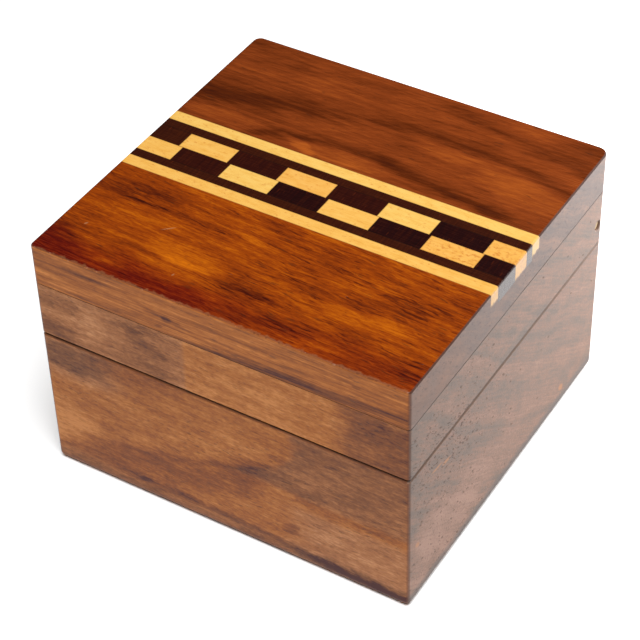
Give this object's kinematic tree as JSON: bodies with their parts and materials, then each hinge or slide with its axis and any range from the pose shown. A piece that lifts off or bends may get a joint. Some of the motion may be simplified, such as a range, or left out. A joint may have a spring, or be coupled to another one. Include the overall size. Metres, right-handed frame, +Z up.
{
  "type": "inlaid wooden box",
  "caption": "Small square box milled from solid wood, with a pin-hinged lid and a band of light and dark inlaid checks across the top.",
  "frame": {"origin": "middle of the underside of the base", "axes": "+X along the grain and the inlay band, +Y from the front towards the hinge, +Z up"},
  "size_m": [0.088, 0.0862, 0.06],
  "materials": {
    "rosewood_block": "satin",
    "rosewood_board": "polished",
    "light_inlay": "polished",
    "dark_check": "polished",
    "dark_strip": "polished",
    "brass_pin": "satin"
  },
  "bodies": {
    "base": {"base_block": "rosewood_block"},
    "lid": {"lid_frame": "rosewood_block", "lid_top_board": "rosewood_board", "hinge_pin_left": "brass_pin", "hinge_pin_right": "brass_pin", "light_line_front": "light_inlay", "light_line_back": "light_inlay", "dark_strip_front": "dark_strip", "dark_strip_back": "dark_strip", "dark_check_1": "dark_check", "dark_check_2": "dark_check", "dark_check_3": "dark_check", "dark_check_4": "dark_check", "dark_check_5": "dark_check", "dark_check_6": "dark_check", "dark_check_7": "dark_check", "dark_check_8": "dark_check", "light_check_1": "light_inlay", "light_check_2": "light_inlay", "light_check_3": "light_inlay", "light_check_4": "light_inlay", "light_check_5": "light_inlay", "light_check_6": "light_inlay", "light_check_7": "light_inlay", "light_check_8": "light_inlay"}
  },
  "joints": [
    {"name": "lid_hinge", "type": "hinge", "parent": "base", "child": "lid", "pos_m": [0, 0.0396, 0.0419], "axis": [-1, 0, 0], "range_deg": [0, 115]}
  ]
}
